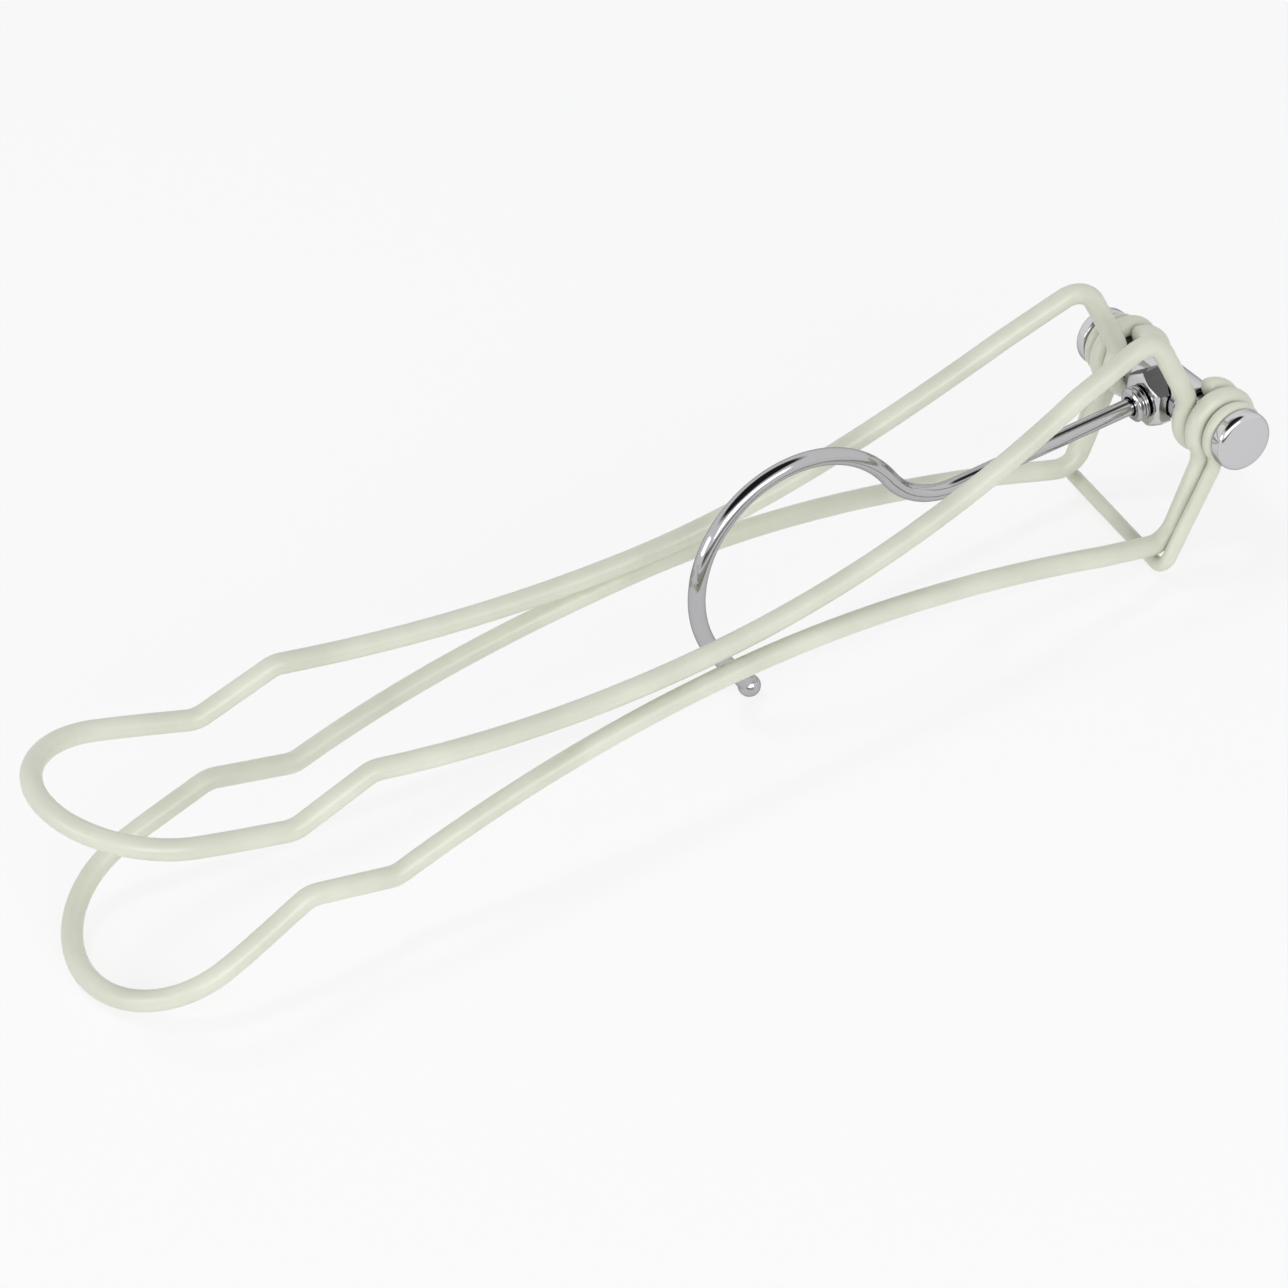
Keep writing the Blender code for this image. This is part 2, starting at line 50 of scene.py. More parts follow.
joints = {joint["name"]: joint for joint in frame["joints"]}
axle_place = np.array(joints["inner_arm_fold"]["pos_m"])
hanger_x = -np.array(joints["hook_swivel"]["axis"])
hanger_y = np.array([0.0, 1.0, 0.0])
hanger_z = np.cross(hanger_x, hanger_y)
hanger_axes = np.array([hanger_x, hanger_y, hanger_z])


def lay(points):
    """From the hanger's own axes to the frame: each share times its axis, plus the axle's place.

    The arms lie along -x of the hanger's own axes and the axle along y. The inner arm is on the +z side.
    """
    return np.asarray(points, float) @ hanger_axes + axle_place


def facing(back, roll=0.0):
    """Right, up and back of a thing that looks away from back. Right is level, then turned by the roll."""
    level = np.cross([0.0, 0.0, 1.0], back)
    level /= np.linalg.norm(level)
    right = math.cos(roll) * level + math.sin(roll) * np.cross(back, level)
    return np.array([right, np.cross(back, right), back])


def stand(thing, place, axes):
    """Put a camera or a lamp at a place, with its right, up and back along the rows of axes."""
    thing.matrix_world = Matrix.Translation(place) @ Matrix(axes.T.tolist()).to_4x4()
    bpy.context.collection.objects.link(thing)


def make_camera():
    """A camera at the photograph's viewing angle. Its place and its angles are in the hanger's own axes."""
    eye = np.array([-0.376781, -0.576442, 0.480541])
    towards_tips = math.radians(25.102)
    above = math.radians(37.240)
    roll = math.radians(-8.666)
    back = np.array([-math.cos(above) * math.sin(towards_tips),
                     -math.cos(above) * math.cos(towards_tips),
                     math.sin(above)])
    data = bpy.data.cameras.new("camera")
    data.sensor_width = 36.0
    data.lens = 135.02
    data.clip_start = 0.01
    camera = bpy.data.objects.new("camera", data)
    stand(camera, lay(eye), facing(back, roll) @ hanger_axes)
    bpy.context.scene.camera = camera


def make_lamp(name, place, width, height, power, mirrored=True):
    """A soft lamp that faces the hanger's middle. The bright metal mirrors it, or doesn't."""
    hanger_middle = np.array([0.0, 0.0, 0.02])
    data = bpy.data.lights.new(name, "AREA")
    data.shape = "RECTANGLE"
    data.size = width
    data.size_y = height
    data.energy = power
    lamp = bpy.data.objects.new(name, data)
    lamp.visible_glossy = mirrored
    back = np.array(place) - hanger_middle
    stand(lamp, place, facing(back / np.linalg.norm(back)))


def worked_out(tree, sum_name, *values):
    """A number made from one or two others by a sum. Each of them is a node's output or a plain number."""
    node = tree.nodes.new("ShaderNodeMath")
    node.operation = sum_name
    for place, value in zip(node.inputs, values):
        if isinstance(value, float):
            place.default_value = value
        else:
            tree.links.new(value, place)
    return node.outputs[0]


def ranged(tree, value, start, end, kind="LINEAR"):
    """A value carried from one range to another, each given as two ends: evenly, or by a smooth step."""
    node = tree.nodes.new("ShaderNodeMapRange")
    node.interpolation_type = kind
    node.inputs["From Min"].default_value = start[0]
    node.inputs["From Max"].default_value = start[1]
    node.inputs["To Min"].default_value = end[0]
    node.inputs["To Max"].default_value = end[1]
    tree.links.new(value, node.inputs["Value"])
    return node.outputs["Result"]


def clear_share(tree, most):
    """How much of the white behind a ray sees: most for camera, glossy and transmission rays, else none."""
    rays = tree.nodes.new("ShaderNodeLightPath")
    seen = worked_out(tree, "MAXIMUM", rays.outputs["Is Camera Ray"], rays.outputs["Is Glossy Ray"])
    seen = worked_out(tree, "MAXIMUM", seen, rays.outputs["Is Transmission Ray"])
    return worked_out(tree, "MULTIPLY", seen, most)


def mixed_surface(tree, share, first, second, output):
    """Two shaders mixed: the share is the second one's part. The result goes to the tree's output."""
    mix = tree.nodes.new("ShaderNodeMixShader")
    tree.links.new(share, mix.inputs[0])
    tree.links.new(first.outputs[0], mix.inputs[1])
    tree.links.new(second.outputs[0], mix.inputs[2])
    tree.links.new(mix.outputs[0], tree.nodes[output].inputs["Surface"])


def make_floor():
    """A level white floor under the hanger, wide enough for every view.

    Most of the white behind it shows through. Its underside lets the lamps' light pass, so an arm that swings
    below it is lit as it is above.
    """
    reach_of_floor = 6.0
    white_behind = 0.78
    corners = [(reach_of_floor * x, reach_of_floor * y, 0) for x, y in ((-1, -1), (1, -1), (1, 1), (-1, 1))]
    data = bpy.data.meshes.new("floor")
    data.from_pydata(corners, [], [(0, 1, 2, 3)])
    floor = bpy.data.objects.new("floor", data)
    bpy.context.collection.objects.link(floor)
    paint = bpy.data.materials.new("floor_white")
    paint.use_nodes = True
    tree = paint.node_tree
    shader = tree.nodes["Principled BSDF"]
    shader.inputs["Base Color"].default_value = (0.94, 0.94, 0.94, 1)
    shader.inputs["Roughness"].default_value = 0.9
    rays = tree.nodes.new("ShaderNodeLightPath")
    side_met = tree.nodes.new("ShaderNodeNewGeometry")
    from_below = worked_out(tree, "MULTIPLY", rays.outputs["Is Shadow Ray"], side_met.outputs["Backfacing"])
    share = worked_out(tree, "MAXIMUM", clear_share(tree, white_behind), from_below)
    clear = tree.nodes.new("ShaderNodeBsdfTransparent")
    mixed_surface(tree, share, shader, clear, "Material Output")
    data.materials.append(paint)


def ramp(tree, value, places, colours):
    """A colour that runs from the first to the second as a value goes between two places."""
    node = tree.nodes.new("ShaderNodeValToRGB")
    for stop, place, colour in zip(node.color_ramp.elements, places, colours):
        stop.position = place
        stop.color = colour
    tree.links.new(value, node.inputs["Fac"])
    return node.outputs["Color"]


def along_way(tree, direction, way):
    """How much a direction points a given way: the dot product of the two."""
    node = tree.nodes.new("ShaderNodeVectorMath")
    node.operation = "DOT_PRODUCT"
    node.inputs[1].default_value = way
    tree.links.new(direction, node.inputs[0])
    return node.outputs["Value"]


def tinted(tree, share, colour, other):
    """A colour that turns to a plain other one by a share."""
    node = tree.nodes.new("ShaderNodeMix")
    node.data_type = "RGBA"
    node.inputs["B"].default_value = other
    tree.links.new(share, node.inputs["Factor"])
    tree.links.new(colour, node.inputs["A"])
    return node.outputs["Result"]


def make_surround():
    """A surround that lights the hanger at a plain level, with white walls and two dark places to mirror.

    The ceiling is a round patch: a direction's dot product with the patch's middle tells it from the walls.
    The table's edge is a strip near the horizon: the dot product with its normal is small there, and the one
    with the way it lies is large.
    """
    white = (1.0, 1.0, 1.0, 1.0)
    dark = (0.02, 0.02, 0.02, 1.0)
    ceiling_middle = (-0.165, -0.015, 0.986)
    ceiling_rim = (0.72, 0.83)
    edge_normal = (0.18, -0.15, 0.97)
    edge_fade = (0.05, 0.13)
    edge_way = (-0.342, -0.940, 0.0)
    edge_end = (0.77, 0.88)
    edge_strength = 0.92
    world = bpy.data.worlds.new("surround")
    world.use_nodes = True
    bpy.context.scene.world = world
    tree = world.node_tree
    light = tree.nodes["Background"]
    light.inputs["Color"].default_value = (0.97, 0.98, 1.0, 1)
    light.inputs["Strength"].default_value = 0.50
    direction = tree.nodes.new("ShaderNodeTexCoord").outputs["Object"]
    walls = ramp(tree, along_way(tree, direction, ceiling_middle), ceiling_rim, (white, dark))
    off_strip = worked_out(tree, "ABSOLUTE", along_way(tree, direction, edge_normal))
    strip = ranged(tree, off_strip, edge_fade, (1.0, 0.0), "SMOOTHSTEP")
    ahead = along_way(tree, direction, edge_way)
    stretch = ranged(tree, ahead, edge_end, (0.0, edge_strength), "SMOOTHSTEP")
    edge = worked_out(tree, "MULTIPLY", strip, stretch)
    mirrored = tinted(tree, edge, walls, dark)
    rays = tree.nodes.new("ShaderNodeLightPath")
    shown = tree.nodes.new("ShaderNodeBackground")
    tree.links.new(tinted(tree, rays.outputs["Is Camera Ray"], mirrored, white), shown.inputs["Color"])
    mixed_surface(tree, clear_share(tree, 1.0), light, shown, "World Output")


make_camera()
make_lamp("front_lamp", place=(-0.15, -1.0, 0.45), width=1.15, height=0.42, power=5.6)
make_lamp("left_lamp", place=(-1.1, 0.0, 0.42), width=0.7, height=0.3, power=2.0)
make_lamp("top_lamp", place=(-0.25, 0.45, 1.1), width=0.2, height=0.2, power=2.2, mirrored=False)
make_floor()
make_surround()
bpy.context.scene.view_settings.view_transform = "Standard"


# The inner arm
# One length of steel wire bent to a long hairpin, its two ends turned into eyes on the axle, then
# dipped in pale plastic. The dip leaves a soft gloss, a faintly uneven skin and rounded wire ends.

coat_radius = 0.0018
coat_end_depth = 0.0009
arm_sides = 28


def corner_arc(before, corner, after, radius, steps):
    """The arc that rounds a corner, from the side that comes to it to the side that leaves it.

    Its centre lies on the corner's bisector, as far off as the radius over the sine of half the angle.
    """
    back = (before - corner) / np.linalg.norm(before - corner)
    ahead = (after - corner) / np.linalg.norm(after - corner)
    half = math.acos(np.clip(back @ ahead, -1, 1)) / 2
    bisector = (back + ahead) / np.linalg.norm(back + ahead)
    centre = corner + bisector * radius / math.sin(half)
    arm = corner + back * radius / math.tan(half) - centre
    angle = np.linspace(0, math.pi - 2 * half, steps)[:, None]
    return centre + arm * np.cos(angle) - back * radius * np.sin(angle)


def curve_between(start, end, start_slope, end_slope, length, t):
    """The cubic of t that leaves start and meets end with the given slopes over a length."""
    blend = (1 - 3 * t ** 2 + 2 * t ** 3) * start + (3 * t ** 2 - 2 * t ** 3) * end
    return blend + length * ((t - 2 * t ** 2 + t ** 3) * start_slope + (t ** 3 - t ** 2) * end_slope)


def eye_turn(corner, eye_radius, neck_radius, wire_radius, leg_offset):
    """An open eye round the axle, in the x and z plane, from the wire's end to the leg that runs to a corner.

    The eye is a circle about the axle. The leg's line passes beside the axle at its offset. The neck is a
    second circle, which touches the first from outside and the leg's line.
    """
    end_gap = 0.0006
    eye_steps = 72
    neck_steps = 14
    distance = math.hypot(corner[0], corner[2])
    towards = np.array([corner[0], corner[2]]) / distance
    beside = np.array([-towards[1], towards[0]]) * math.copysign(1, towards[1])
    lean = math.asin(leg_offset / distance)
    out = math.cos(lean) * towards - math.sin(lean) * beside
    side = math.sin(lean) * towards + math.cos(lean) * beside
    join = math.asin((leg_offset + neck_radius) / (eye_radius + neck_radius))
    stop = 2 * math.pi - math.asin((2 * wire_radius + end_gap - leg_offset) / eye_radius)
    angle = np.linspace(stop, join, eye_steps)[:, None]
    ring = eye_radius * (np.cos(angle) * out + np.sin(angle) * side)
    neck_centre = (eye_radius + neck_radius) * (math.cos(join) * out + math.sin(join) * side)
    angle = np.linspace(math.pi / 2 - join, 0, neck_steps)[1:, None]
    neck = neck_centre - neck_radius * (np.sin(angle) * out + np.cos(angle) * side)
    flat = np.vstack([ring, neck])
    return np.column_stack([flat[:, 0], np.full(len(flat), corner[1]), flat[:, 1]])


def arm_centre_line(side, eye_place, leg_offset, corner_distance, corner_height, shoulder_width,
                    shoulder_flare, shoulder_height, shoulder_fall, waist_width, waist_flare, waist_height,
                    crest_width, foot_width, end_width):
    """One half of a hairpin arm's centre line: eye, leg, long waisted span, notch and round end.

    Distances run from the axle along the arm, and widths are half widths. The span's height and width are
    cubics of the distance, a flare being how fast the width grows there. The end is half an ellipse.
    """
    reach = 0.213
    eye_radius = 0.0051
    neck_radius = 0.0050
    bend_radius = 0.005
    shoulder_distance = 0.026
    waist_distance = 0.0984
    crest_distance = 0.1646
    crest_height = 0.0106
    crest_rise = 0.27
    crest_flare = 0.005
    foot_distance = 0.1796
    foot_height = 0.0065
    foot_flare = 0.06
    end_height = 0.018
    end_length = 0.0167
    span_steps = 40
    tail_steps = 12
    nose_steps = 24

    corner = np.array([-corner_distance, eye_place, corner_height])
    eye = eye_turn(corner, eye_radius, neck_radius, coat_radius, leg_offset)
    t = np.linspace(0, 1, span_steps)
    length = waist_distance - shoulder_distance
    width = curve_between(shoulder_width, waist_width, shoulder_flare, waist_flare, length, t)
    height = curve_between(shoulder_height, waist_height, -shoulder_fall, 0, length, t)
    near_span = np.column_stack([-shoulder_distance - t * length, width, height])
    length = crest_distance - waist_distance
    width = curve_between(waist_width, crest_width, waist_flare, crest_flare, length, t)
    height = curve_between(waist_height, crest_height, 0, crest_rise, length, t)
    far_span = np.column_stack([-waist_distance - t * length, width, height])

    foot = np.array([-foot_distance, foot_width, foot_height])
    rise = (end_height - foot_height) / (reach - foot_distance)
    length = reach - end_length - foot_distance
    t = np.linspace(0, 1, tail_steps)[1:]
    width = curve_between(foot_width, end_width, foot_flare, 0, length, t)
    tail = np.column_stack([-foot_distance - t * length, width, foot_height + rise * t * length])
    angle = np.linspace(0, math.pi / 2, nose_steps)[1:]
    along = length + end_length * np.sin(angle)
    nose = np.column_stack([-foot_distance - along, end_width * np.cos(angle), foot_height + rise * along])

    bend = corner_arc(eye[-1], corner, near_span[0], bend_radius, steps=14)
    crest = corner_arc(far_span[-2], far_span[-1], foot, bend_radius, steps=8)
    dip = corner_arc(far_span[-1], foot, tail[0], bend_radius, steps=8)
    before_crest = far_span[1:][far_span[1:, 0] > crest[0, 0]]
    after_dip = tail[tail[:, 0] < dip[-1, 0]]
    return np.vstack([eye, bend, near_span, before_crest, crest, dip, after_dip, nose]) * (1, side, 1)


def closer(line, step=0.0008):
    """The same line with more points: one at every step along it, unless one of its own is near."""
    along = np.concatenate([[0], np.cumsum(np.linalg.norm(np.diff(line, axis=0), axis=1))])
    extra = np.arange(step, along[-1], step)
    extra = extra[np.abs(extra[:, None] - along).min(axis=1) > step / 4]
    place = np.sort(np.concatenate([along, extra]))
    return np.column_stack([np.interp(place, along, line[:, k]) for k in range(3)])


def whole_arm(turned_over=False, **sizes):
    """Both halves of an arm's centre line, joined at the tip of its round end."""
    near = arm_centre_line(-1, **sizes)
    far = arm_centre_line(1, **sizes)
    return closer(np.vstack([near, far[-2::-1]])) * (1, 1, -1 if turned_over else 1)


def tube(line, radius, beside, sides, end_depth=0.0, end_rows=0):
    """Skin of a round wire along a line: at each point a circle square to the line.

    Where it has end rows, they close its ends by a half ellipse of the given depth. beside is a direction, or
    one for each point, that is nowhere parallel to the line.
    """
    along = np.gradient(line, axis=0)
    along /= np.linalg.norm(along, axis=1)[:, None]
    beside = np.broadcast_to(beside, line.shape)
    angle = np.linspace(0, math.pi / 2, end_rows + 1)[1:]
    shrink = np.concatenate([np.cos(angle)[::-1], np.ones(len(line)), np.cos(angle)])
    shift = end_depth * np.concatenate([-np.sin(angle)[::-1], np.zeros(len(line)), np.sin(angle)])
    pick = np.clip(np.arange(-end_rows, len(line) + end_rows), 0, len(line) - 1)
    along = along[pick]
    beside = beside[pick]
    centre = line[pick] + along * shift[:, None]
    first = beside - (beside * along).sum(axis=1)[:, None] * along
    first /= np.linalg.norm(first, axis=1)[:, None]
    second = np.cross(along, first)
    turn = np.linspace(0, 2 * math.pi, sides, endpoint=False)[None, :, None]
    ring = np.cos(turn) * first[:, None] + np.sin(turn) * second[:, None]
    return centre[:, None] + ring * (radius * shrink)[:, None, None]


def skin(name, grid, body, node, material, sharp=40):
    """A piece from a grid of points whose columns run round it: quads between neighbours, with normals out.

    Points that fall together are merged. Its UV map holds the turn round the piece and the distance along it
    in centimetres. Edges sharper than the given angle in degrees stay crisp.
    """
    centimetres = 100
    same_place = 1e-7
    rows, columns = grid.shape[:2]
    left = (np.arange(rows - 1)[:, None] * columns + np.arange(columns)).ravel()
    right = (np.arange(rows - 1)[:, None] * columns + (np.arange(columns) + 1) % columns).ravel()
    faces = np.column_stack([left, right, right + columns, left + columns])
    data = bpy.data.meshes.new(name)
    data.from_pydata(lay(grid.reshape(-1, 3)).tolist(), [], faces.tolist())

    middle_steps = np.linalg.norm(np.diff(grid.mean(axis=1), axis=0), axis=1)
    edge_steps = np.linalg.norm(np.diff(grid[:, 0], axis=0), axis=1)
    distance = np.concatenate([[0], np.cumsum(np.maximum(middle_steps, edge_steps))]) * centimetres
    low = np.repeat(distance[:-1], columns)
    high = np.repeat(distance[1:], columns)
    turn = np.tile(np.arange(columns) / columns, rows - 1)
    next_turn = turn + 1 / columns
    chart = np.stack([turn, low, next_turn, low, next_turn, high, turn, high], axis=1)
    data.uv_layers.new(name="along").data.foreach_set("uv", chart.ravel())

    work = bmesh.new()
    work.from_mesh(data)
    bmesh.ops.remove_doubles(work, verts=work.verts, dist=same_place)
    bmesh.ops.dissolve_degenerate(work, edges=work.edges, dist=same_place / 10)
    bmesh.ops.recalc_face_normals(work, faces=work.faces)
    work.to_mesh(data)
    work.free()
    data.shade_smooth()
    data.set_sharp_from_angle(angle=math.radians(sharp))
    data.materials.append(material)
    piece = bpy.data.objects.new(name, data)
    bpy.context.collection.objects.link(piece)
    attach(piece, body)
    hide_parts(node)
    return piece


def noise(tree, place, scale, detail):
    """Soft clouds at a scale: a value from 0 to 1 for each place."""
    node = tree.nodes.new("ShaderNodeTexNoise")
    node.inputs["Scale"].default_value = scale
    node.inputs["Detail"].default_value = detail
    tree.links.new(place, node.inputs["Vector"])
    return node.outputs["Fac"]


def relief(tree, shader, height, strength, distance):
    """Fine relief on a shader's surface, from a height."""
    bump = tree.nodes.new("ShaderNodeBump")
    bump.inputs["Strength"].default_value = strength
    bump.inputs["Distance"].default_value = distance
    tree.links.new(height, bump.inputs["Height"])
    tree.links.new(bump.outputs["Normal"], shader.inputs["Normal"])


def dipped_coat():
    """Pale greenish ivory plastic: a soft clouding of its tone and gloss, over a skin of shallow dimples."""
    deep_tone = (0.660, 0.678, 0.560, 1)
    pale_tone = (0.740, 0.755, 0.640, 1)
    clouding = (0.32, 0.70)
    roughness = (0.26, 0.36)
    coat = bpy.data.materials.new("coated_wire")
    coat.use_nodes = True
    tree = coat.node_tree
    shader = tree.nodes["Principled BSDF"]
    shader.inputs["Specular IOR Level"].default_value = 0.5
    place = tree.nodes.new("ShaderNodeTexCoord").outputs["Object"]
    cloud = noise(tree, place, scale=90.0, detail=3.0)
    tone = ramp(tree, cloud, clouding, (deep_tone, pale_tone))
    tree.links.new(tone, shader.inputs["Base Color"])
    tree.links.new(ranged(tree, cloud, (0.0, 1.0), roughness), shader.inputs["Roughness"])
    relief(tree, shader, noise(tree, place, scale=900.0, detail=2.0), strength=0.12, distance=0.0004)
    return coat


def square_to_arm(line):
    """A direction beside an arm's line: along the axle at the eyes, turning to straight up along the span.

    The share of straight up is the smooth step 3s^2 - 2s^3 of the distance past where the turn starts.
    """
    turn_start = 0.02
    turn_length = 0.04
    share = np.clip((-line[:, 0] - turn_start) / turn_length, 0, 1)
    share = share * share * (3 - 2 * share)
    return np.column_stack([np.zeros(len(line)), 1 - share, share])


coat = dipped_coat()
inner_line = whole_arm(eye_place=0.0103, leg_offset=0.0017, corner_distance=0.0094, corner_height=0.0202,
                       shoulder_width=0.0114, shoulder_flare=0.10, shoulder_height=0.0156, shoulder_fall=0.35,
                       waist_width=0.0153, waist_flare=0.045, waist_height=0.0017,
                       crest_width=0.0173, foot_width=0.0177, end_width=0.0185)
inner_grid = tube(inner_line, coat_radius, square_to_arm(inner_line), arm_sides, coat_end_depth, end_rows=6)
skin("inner_arm_wire", inner_grid, "inner_arm", "inner_arm", coat)


# The outer arm
# The same wire and coat, bent to a slightly wider hairpin so that its eyes sit outside the inner
# arm's eyes on the axle. It is turned over, so the two arms bow away from each other at their ends.

outer_line = whole_arm(eye_place=0.0142, leg_offset=0.0008, corner_distance=0.0124, corner_height=0.0193,
                       shoulder_width=0.0154, shoulder_flare=0.03, shoulder_height=0.0151, shoulder_fall=0.32,
                       waist_width=0.0170, waist_flare=0.003, waist_height=0.0024,
                       crest_width=0.0182, foot_width=0.0185, end_width=0.0196, turned_over=True)
outer_grid = tube(outer_line, coat_radius, square_to_arm(outer_line), arm_sides, coat_end_depth, end_rows=6)
skin("outer_arm_wire", outer_grid, "outer_arm", "outer_arm", coat)


# The stop bail
# A thinner wire with the same coat. It has an eye at each end of the axle, a leg down beside each of
# the outer arm's legs, and a crossbar under the arm's corners that the inner arm lands on when open.

bail_radius = 0.00125


def bail_centre_line():
    """The bail's line: near eye and leg, the crossbar that lies a little askew, and the far leg and eye."""
    near_distance = 0.0156
    far_distance = 0.0115
    eye_place = 0.01755
    crossbar_depth = 0.0217108
    eye_radius = 0.00455
    neck_radius = 0.0036
    leg_offset = 0.0002
    bend_radius = 0.0024
    near = np.array([-near_distance, -eye_place, -crossbar_depth])
    far = np.array([-far_distance, eye_place, -crossbar_depth])
    near_eye = eye_turn(near, eye_radius, neck_radius, bail_radius, leg_offset)
    far_eye = eye_turn(far, eye_radius, neck_radius, bail_radius, leg_offset)
    near_bend = corner_arc(near_eye[-1], near, far, bend_radius, steps=12)
    far_bend = corner_arc(near, far, far_eye[-1], bend_radius, steps=12)
    return closer(np.vstack([near_eye, near_bend, far_bend, far_eye[::-1]]))


def square_to_bail(line):
    """A direction beside the bail's line: along the axle at its eyes, turning square to its legs below."""
    leg_way = np.array([-0.0137, 0.0, -0.0218])
    leg_way /= np.linalg.norm(leg_way)
    turn_start = 0.008
    turn_length = 0.008
    share = np.clip((line @ leg_way - turn_start) / turn_length, 0, 1)[:, None]
    return (1 - share) * hanger_y + share * np.cross(hanger_y, leg_way)


bail_line = bail_centre_line()
bail_grid = tube(bail_line, bail_radius, square_to_bail(bail_line), sides=24, end_depth=0.0006, end_rows=6)
skin("stop_bail_wire", bail_grid, "outer_arm", "stop_bail", coat)


# The axle
# A plated screw post with a broad flat head at the near end. A screw with a like head closes it at the
# far end. Both heads have a small turned edge.

head_seat = 0.0191
head_face = 0.0217
head_radius = 0.0054
rim_round = 0.0018
edge_round = 0.0003
post_radius = 0.003
post_bore = 0.0021
screw_radius = 0.0018
screw_length = 0.012
seat_gap = 0.0003
post_end = seat_gap - head_seat
bore_floor = post_end + screw_length + seat_gap
screw_end = head_seat - screw_length


def softened(profile, radii, steps=7):
    """A profile of (radius, height) points whose inner corners become arcs of the given radii.

    An arc takes no more of the shorter side than the share that it may have.
    """
    share = 0.4
    points = [np.array(point, float) for point in profile]
    out = [points[0][None]]
    radii = np.broadcast_to(radii, len(points) - 2)
    for before, corner, after, radius in zip(points[:-2], points[1:-1], points[2:], radii):
        room = share * min(np.linalg.norm(before - corner), np.linalg.norm(after - corner))
        back = (before - corner) / np.linalg.norm(before - corner)
        ahead = (after - corner) / np.linalg.norm(after - corner)
        half = math.acos(np.clip(back @ ahead, -1, 1)) / 2
        out.append(corner_arc(before, corner, after, min(radius, room * math.tan(half)), steps))
    return np.vstack(out + [points[-1][None]])


def turned(profile, axis, sides=64):
    """A profile of (radius, height) turned about a level axis through the axle's middle, as on a lathe."""
    axis = np.array(axis, float)
    first = np.array([axis[1], -axis[0], 0.0])
    second = np.cross(axis, first)
    turn = np.linspace(0, 2 * math.pi, sides, endpoint=False)[None, :, None]
    ring = np.cos(turn) * first + np.sin(turn) * second
    return profile[:, 1][:, None, None] * axis + profile[:, 0][:, None, None] * ring


def bright_plate(name, tone):
    """Bright plating over drawn steel: faint lines along each piece, and a gloss that varies a little.

    The lines are noise on the UV map, fine round the piece and long along it.
    """
    round_scale = 60.0
    along_scale = 1.5
    roughness = (0.04, 0.12)
    plate = bpy.data.materials.new(name)
    plate.use_nodes = True
    tree = plate.node_tree
    shader = tree.nodes["Principled BSDF"]
    shader.inputs["Base Color"].default_value = (*tone, 1)
    shader.inputs["Metallic"].default_value = 1.0
    shader.inputs["Specular Tint"].default_value = (0.50, 0.50, 0.51, 1)
    chart = tree.nodes.new("ShaderNodeUVMap")
    chart.uv_map = "along"
    drawn = tree.nodes.new("ShaderNodeMapping")
    drawn.inputs["Scale"].default_value = (round_scale, along_scale, 1.0)
    tree.links.new(chart.outputs["UV"], drawn.inputs["Vector"])
    lines = noise(tree, drawn.outputs["Vector"], scale=1.0, detail=2.0)
    tree.links.new(ranged(tree, lines, (0.0, 1.0), roughness), shader.inputs["Roughness"])
    relief(tree, shader, lines, strength=0.05, distance=0.0001)
    return plate


plate = bright_plate("bright_plate", (0.60, 0.60, 0.61))
head = [(0, head_face), (head_radius, head_face), (head_radius, head_seat)]
post = [(post_radius, head_seat), (post_radius, post_end), (post_bore, post_end), (post_bore, bore_floor),
        (0, bore_floor)]
screw = [(screw_radius, head_seat), (screw_radius, screw_end), (0, screw_end)]
post_grid = turned(softened(head + post, [rim_round] + [edge_round] * 5), (0, -1, 0))
screw_grid = turned(softened(head + screw, [rim_round] + [edge_round] * 3), (0, 1, 0))
skin("axle_post_turned", post_grid, "hub", "axle_post", plate, sharp=50)
skin("axle_screw_turned", screw_grid, "hub", "axle_screw", plate, sharp=50)


# The pivot barrel
# A plated tube on the post between the inner arm's eyes. It spaces the arms and carries the hook's
# boss, which hides the hole in its side for the stem's head.

barrel_bore = post_radius + seat_gap
barrel_radius = 0.0042
barrel_end = 0.0082


def ring_profile(profile, radius):
    """A softened profile that comes back to its first point, for a piece with a hole along its axis."""
    line = softened(profile, radius)
    return np.vstack([line, line[:1]])


barrel = [(barrel_bore, barrel_end), (barrel_radius, barrel_end), (barrel_radius, -barrel_end),
          (barrel_bore, -barrel_end)]
barrel_grid = turned(ring_profile(barrel, edge_round), (0, 1, 0))
skin("pivot_barrel_turned", barrel_grid, "hub", "pivot_barrel", plate, sharp=50)


# The hex boss
# A plated hexagon whose front edge is turned to a cone, as a nut's is. Its back is cut round to sit on
# the barrel, and a lip at its face keeps the hook's stem in.

stem_bore = 0.0018


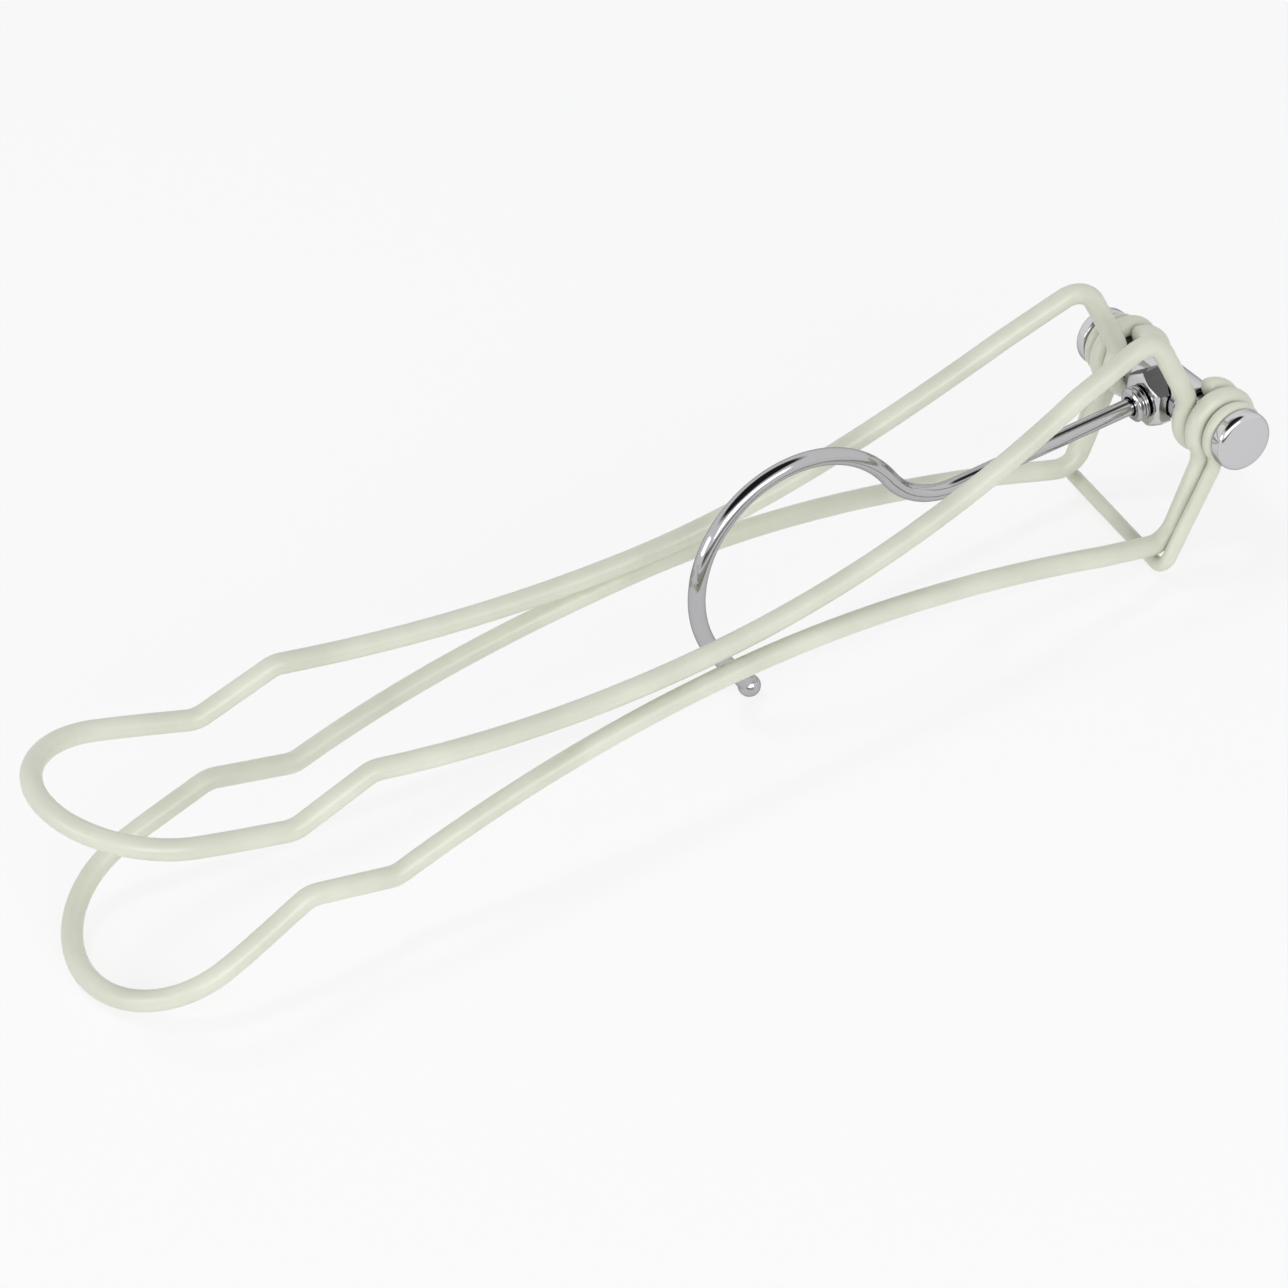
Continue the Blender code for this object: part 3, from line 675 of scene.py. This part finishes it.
def hex_boss_grid(sides=120):
    """The boss's surface: rows of a distance from the stem's axis and a depth, from the bore's mouth round.

    A hexagon's edge lies at flat / cos(angle from the middle of that side). The cone starts at the face's
    circle and falls with the distance from it. The back is the barrel's round: the root of its radius squared
    less height squared. Rows that lie close together keep an edge crisp.
    """
    face = 0.0062
    lip_thickness = 0.0016
    lip = face - lip_thickness
    head_room = 0.0027
    mouth_round = 0.0002
    corner_radius = 0.0055
    flat = corner_radius * math.cos(math.pi / 6)
    cone_margin = 0.0003
    face_circle = flat - cone_margin
    cone_fall = 0.55
    close_by = 0.0001
    corner_round = 0.00012
    side_shares = (0.75, 0.5, 0.25, 0.04)
    saddle = 0.0045
    nearest_back = 0.0014
    back_radii = (0.0042, 0.0036, 0.0031, head_room)
    angle = np.linspace(0, 2 * math.pi, sides, endpoint=False)
    outline = flat / np.cos((angle % (math.pi / 3)) - math.pi / 6)
    fall = (outline - face_circle) * cone_fall
    front = face - fall

    def back(radius):
        height = radius * np.cos(angle)
        return np.sqrt(np.maximum(saddle ** 2 - height ** 2, nearest_back ** 2))

    rear = back(outline)
    rows = [(stem_bore, lip), (stem_bore, face - mouth_round), (stem_bore + mouth_round, face),
            ((face_circle + stem_bore) / 2, face), (face_circle - close_by, face),
            (face_circle, face - 0.3 * close_by), ((face_circle + outline) / 2, face - fall / 2),
            (outline - corner_round, front + close_by / 2), (outline, front - corner_round)]
    rows += [(outline, rear + share * (front - rear)) for share in side_shares]
    rows += [(outline - close_by, rear)]
    rows += [(radius, back(radius)) for radius in back_radii]
    rows += [(head_room, lip), (stem_bore, lip)]
    radius = np.array([np.broadcast_to(row[0], sides) for row in rows])
    depth = np.array([np.broadcast_to(row[1], sides) for row in rows])
    return np.stack([-depth, radius * np.sin(angle), radius * np.cos(angle)], axis=2)


skin("hex_boss_cut", hex_boss_grid(), "hub", "hex_boss", plate, sharp=30)


# The hook collar
# A small ring with darker plating and a groove turned round its middle. It sits on the stem in front of
# the boss, and turns with the hook.

collar_low = 0.0065
collar_high = 0.0087
collar_radius = 0.0031
groove_radius = 0.0026
groove_low = collar_low + (collar_high - collar_low) / 3
groove_high = collar_high - (collar_high - collar_low) / 3
shoulder_low = (groove_high + collar_high) / 2
collar_round = 0.0002
collar = [(stem_bore, collar_high), (groove_radius, collar_high), (collar_radius, shoulder_low),
          (collar_radius, groove_high), (groove_radius, groove_high), (groove_radius, groove_low),
          (collar_radius, groove_low), (collar_radius, collar_low), (stem_bore, collar_low)]
collar_grid = turned(ring_profile(collar, collar_round), (-1, 0, 0))
dark_plate = bright_plate("dark_plate", (0.47, 0.47, 0.48))
skin("hook_collar_turned", collar_grid, "hook", "hook_collar", dark_plate, sharp=50)


# The hook
# A plated wire with a straight stem, a bend back and a large open arc. The tip is upset to a small
# ball, and the stem's inner end to a flat head inside the boss, which lets the hook turn.


def hook_skin(sides=28):
    """The hook's skin: circles along its line, from the stem's head to the neck, arc, tip and ball.

    The arc's circle and the neck's touch, and the neck's touches the stem's line.
    """
    wire_radius = 0.0015
    arc_centre = np.array([-0.0755, -0.0023])
    arc_radius = 0.0207
    neck_radius = 0.0138
    tip_length = 0.0099
    ball_radius = 0.002
    stem_head_radius = 0.0024
    stem_head_back = 0.0033
    stem_head_front = 0.0043
    stem_head_round = 0.0002
    neck_height = neck_radius - arc_centre[1]
    centres_apart = arc_radius + neck_radius
    neck_x = arc_centre[0] + math.sqrt(centres_apart ** 2 - neck_height ** 2)
    start = math.asin(neck_height / centres_apart)
    stop = math.radians(210)
    stem_steps = 30
    bend_steps = 24
    loop_steps = 96
    tip_steps = 12
    ball_steps = 16

    stem = np.linspace((-stem_head_front, 0), (neck_x, 0), stem_steps)
    angle = np.linspace(0, math.pi / 2 - start, bend_steps)[1:-1, None]
    bend = np.hstack([neck_x - neck_radius * np.sin(angle), neck_radius * (1 - np.cos(angle))])
    angle = np.linspace(start, stop, loop_steps)[:, None]
    loop = arc_centre + arc_radius * np.hstack([np.cos(angle), np.sin(angle)])
    run = np.array([-math.sin(stop), math.cos(stop)])
    tip = loop[-1] + np.linspace(0, 1, tip_steps)[1:, None] * tip_length * run
    flat = np.vstack([stem, bend, loop, tip[:-1]])
    line = np.column_stack([flat[:, 0], np.zeros(len(flat)), flat[:, 1]])
    wire_rows = tube(line, wire_radius, hanger_y, sides)

    tip_way = np.array([run[0], 0.0, run[1]])
    tip_end = np.array([tip[-1][0], 0.0, tip[-1][1]])
    turn = np.linspace(0, 2 * math.pi, sides, endpoint=False)[None, :, None]
    ring = np.cos(turn) * hanger_y + np.sin(turn) * np.cross(tip_way, hanger_y)
    angle = np.linspace(math.asin(wire_radius / ball_radius), math.pi, ball_steps)[:, None, None]
    ball_rows = tip_end - ball_radius * np.cos(angle) * tip_way + ball_radius * np.sin(angle) * ring

    inner_radius = stem_head_radius - stem_head_round
    stem_head = np.array([(0, stem_head_back), (inner_radius, stem_head_back),
                          (stem_head_radius, stem_head_back + stem_head_round),
                          (stem_head_radius, stem_head_front - stem_head_round),
                          (inner_radius, stem_head_front)])
    return np.concatenate([turned(stem_head, (-1, 0, 0), sides), wire_rows, ball_rows])


skin("hook_bent", hook_skin(), "hook", "hook_wire", dark_plate, sharp=50)
